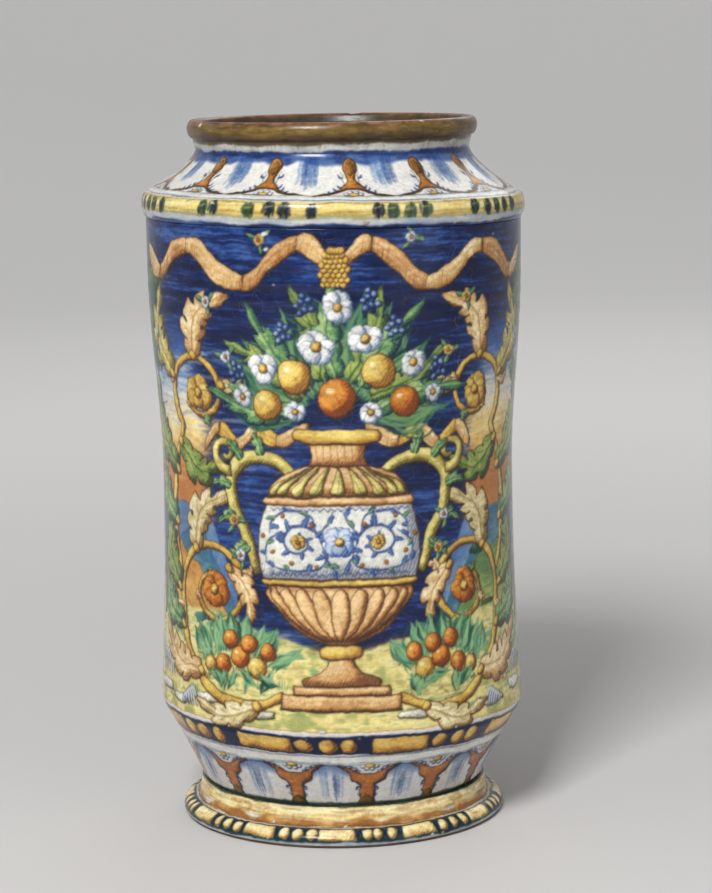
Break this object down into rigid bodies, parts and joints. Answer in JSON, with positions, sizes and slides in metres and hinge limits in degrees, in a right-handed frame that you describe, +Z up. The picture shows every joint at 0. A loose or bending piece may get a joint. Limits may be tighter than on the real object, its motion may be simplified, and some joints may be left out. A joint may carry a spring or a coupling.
{
  "type": "albarello drug jar",
  "caption": "Waisted cylindrical drug jar in painted tin-glazed earthenware, with a spreading foot, a ribbed sloping shoulder, a short neck and a rolled lip.",
  "frame": {"origin": "centre of the foot's resting face, at the bottom of the jar", "axes": "+Z up along the jar's axis of turning; -Y is the painted front, +X is the viewer's right"},
  "size_m": [0.163, 0.163, 0.3],
  "materials": {
    "clay": "bare buff earthenware, matt",
    "foot_glaze": "glossy glaze, yellow and ochre mouldings with dark blue-green dividers",
    "painted_glaze": "glossy tin glaze painted in cobalt, ochre, yellow and green",
    "lip_glaze": "ochre-brown glaze, worn along the crest",
    "inner_glaze": "greyish white tin glaze, thin and dull"
  },
  "bodies": {
    "root": {"clay_body": "clay", "foot_glaze": "foot_glaze", "painted_glaze": "painted_glaze", "lip_glaze": "lip_glaze", "inner_glaze": "inner_glaze"}
  },
  "joints": []
}
